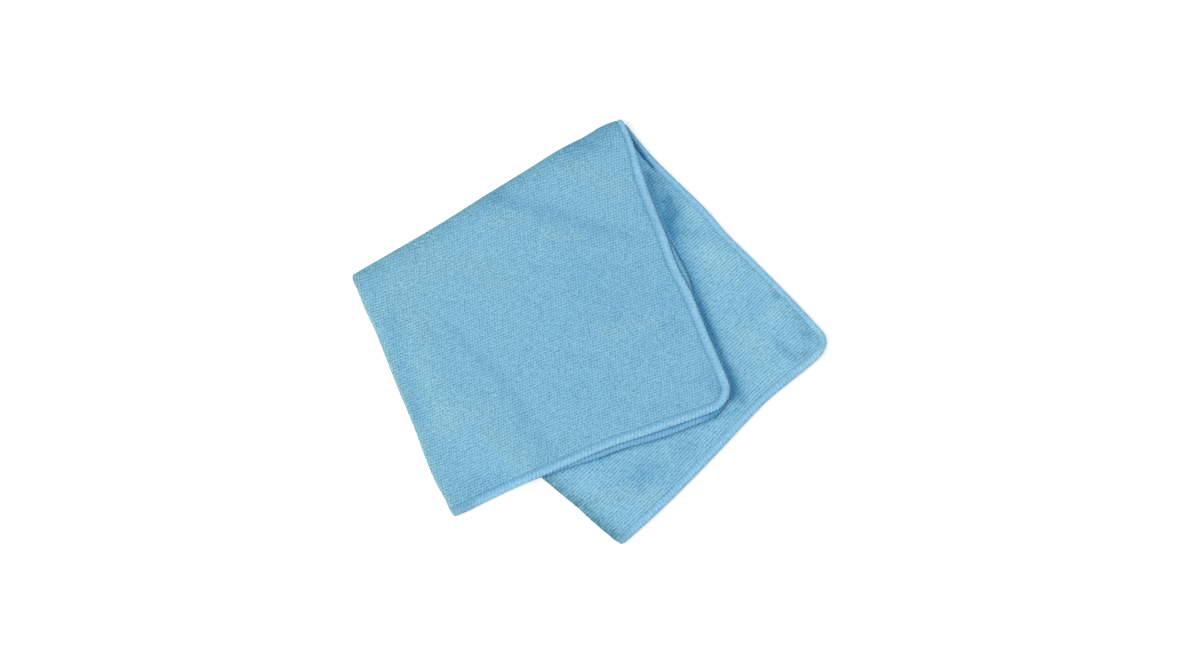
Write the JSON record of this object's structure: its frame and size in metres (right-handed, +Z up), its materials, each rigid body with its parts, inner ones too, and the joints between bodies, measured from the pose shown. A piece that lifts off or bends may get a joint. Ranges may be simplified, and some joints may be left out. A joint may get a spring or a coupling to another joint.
{
  "type": "folded microfibre cloth",
  "caption": "Microfibre cleaning cloth with an overlocked hem and rounded corners, folded twice so that the upper half fans out from the lower one",
  "frame": {"origin": "centre of the folded cloth's outline, at the height of the table it lies on", "axes": "+Z up out of the table, +Y towards the corner where the two side hems meet, +X towards the lower pair's outer hem corner"},
  "size_m": [0.3052, 0.2721, 0.0138],
  "materials": {
    "microfibre": "matte looped pile, light blue, with a slightly paler overlocked hem"
  },
  "bodies": {
    "root": {"cloth": "microfibre"}
  },
  "joints": []
}
